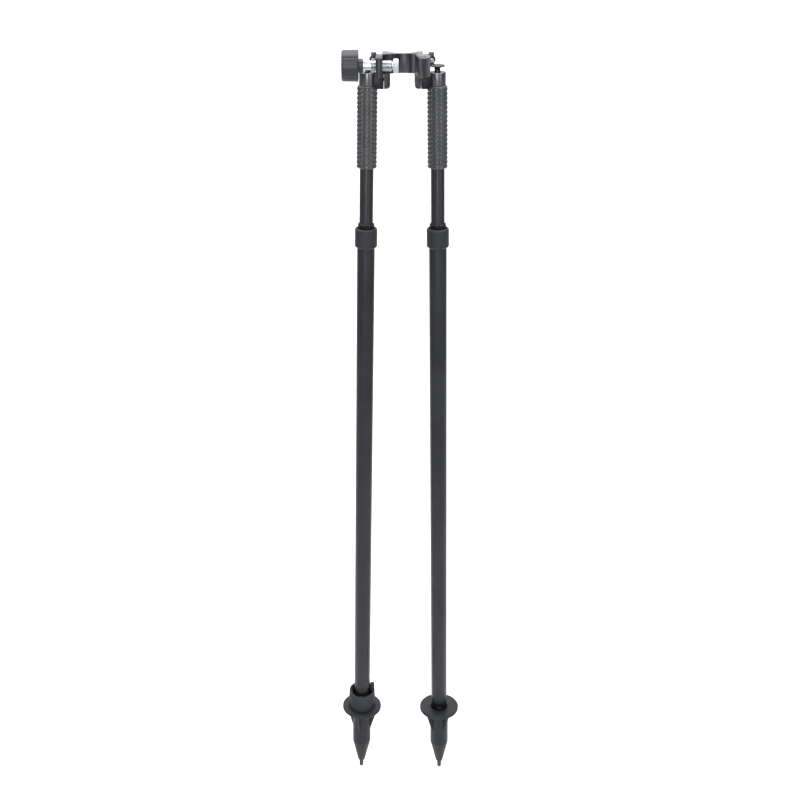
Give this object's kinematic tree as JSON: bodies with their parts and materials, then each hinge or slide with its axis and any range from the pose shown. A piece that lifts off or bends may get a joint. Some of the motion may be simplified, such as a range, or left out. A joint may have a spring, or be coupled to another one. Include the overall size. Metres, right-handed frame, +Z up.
{
  "type": "survey pole bipod",
  "caption": "Open clamp head with a thumb screw that grips a survey pole, carrying two hinged telescopic legs with thumb-release buttons, rubber grips and flanged spike feet.",
  "frame": {"origin": "where the clamp screw's axis meets the axis of the gripped pole, midway between the legs", "axes": "+Z up along the pole, +X to the fixed jaw's side, -Y towards the side the pole is fed in from"},
  "size_m": [0.1984, 0.0922, 1.2569],
  "materials": {
    "anodised_black": "black anodised, satin",
    "anodised_grey": "grey anodised, satin",
    "zinc": "bright zinc plated",
    "steel": "turned",
    "rubber": "matt moulded",
    "nylon_black": "satin moulded",
    "nylon_white": "satin moulded",
    "acetal": "machined"
  },
  "bodies": {
    "head": {"head_body": "anodised_black", "spread_bolt_l": "zinc", "spread_nut_l": "zinc", "spread_bolt_r": "zinc", "spread_nut_r": "zinc"},
    "clamp_tip": {"pressure_tip": "nylon_white"},
    "clamp_screw": {"clamp_screw": "zinc", "clamp_knob": "nylon_black", "screw_washer": "zinc"},
    "yoke_l": {"hinge_yoke_l": "anodised_black", "swing_pin_l": "steel"},
    "leg_l": {"leg_bracket_l": "anodised_black", "ferrule_l": "anodised_grey", "grip_l": "rubber", "upper_tube_l": "anodised_black", "spring_seat_l": "acetal", "release_spring_l": "steel", "brake_collet_l": "acetal"},
    "button_l": {"release_button_l": "nylon_black", "release_rod_l": "steel", "wedge_cone_l": "steel"},
    "lower_leg_l": {"guide_ring_l": "nylon_black", "collar_nut_l": "nylon_black", "lower_tube_l": "anodised_black", "foot_plug_l": "nylon_black", "foot_spike_l": "nylon_black", "spike_pin_l": "steel", "clip_cup": "rubber", "clip_liner": "nylon_black"},
    "yoke_r": {"hinge_yoke_r": "anodised_black", "swing_pin_r": "steel"},
    "leg_r": {"leg_bracket_r": "anodised_black", "ferrule_r": "anodised_grey", "grip_r": "rubber", "upper_tube_r": "anodised_black", "spring_seat_r": "acetal", "release_spring_r": "steel", "brake_collet_r": "acetal"},
    "button_r": {"release_button_r": "nylon_black", "release_rod_r": "steel", "wedge_cone_r": "steel"},
    "lower_leg_r": {"guide_ring_r": "nylon_black", "collar_nut_r": "nylon_black", "lower_tube_r": "anodised_black", "foot_plug_r": "nylon_black", "foot_spike_r": "nylon_black", "spike_pin_r": "steel"}
  },
  "joints": [
    {"name": "tip_slide", "type": "slide", "parent": "head", "child": "clamp_tip", "axis": [1, 0, 0], "range_m": [-0.013, 0]},
    {"name": "screw_turn", "type": "hinge", "parent": "clamp_tip", "child": "clamp_screw", "pos_m": [0, 0, 0], "axis": [1, 0, 0], "range_deg": [-2340, 0]},
    {"name": "spread_l", "type": "hinge", "parent": "head", "child": "yoke_l", "pos_m": [-0.042, 0.034, 0], "axis": [0, 1, 0], "range_deg": [0, 20]},
    {"name": "swing_l", "type": "hinge", "parent": "yoke_l", "child": "leg_l", "pos_m": [-0.05, 0.034, -0.025], "axis": [1, 0, 0], "range_deg": [0, 25]},
    {"name": "release_l", "type": "slide", "parent": "leg_l", "child": "button_l", "axis": [-0.0152, 0, -0.9999], "range_m": [0, 0.005], "stiffness_N_per_m": 900, "springref_m": -0.004, "deforming": ["release_spring_l"]},
    {"name": "extend_l", "type": "slide", "parent": "leg_l", "child": "lower_leg_l", "axis": [-0.0152, 0, -0.9999], "range_m": [0, 0.65]},
    {"name": "spread_r", "type": "hinge", "parent": "head", "child": "yoke_r", "pos_m": [0.042, 0.034, 0], "axis": [0, -1, 0], "range_deg": [0, 20]},
    {"name": "swing_r", "type": "hinge", "parent": "yoke_r", "child": "leg_r", "pos_m": [0.05, 0.034, -0.025], "axis": [1, 0, 0], "range_deg": [0, 25]},
    {"name": "release_r", "type": "slide", "parent": "leg_r", "child": "button_r", "axis": [0.0152, 0, -0.9999], "range_m": [0, 0.005], "stiffness_N_per_m": 900, "springref_m": -0.004, "deforming": ["release_spring_r"]},
    {"name": "extend_r", "type": "slide", "parent": "leg_r", "child": "lower_leg_r", "axis": [0.0152, 0, -0.9999], "range_m": [0, 0.65]}
  ],
  "couplings": [
    {"joint": "screw_turn", "follows": "tip_slide", "rad_per_m": 3141.6}
  ]
}
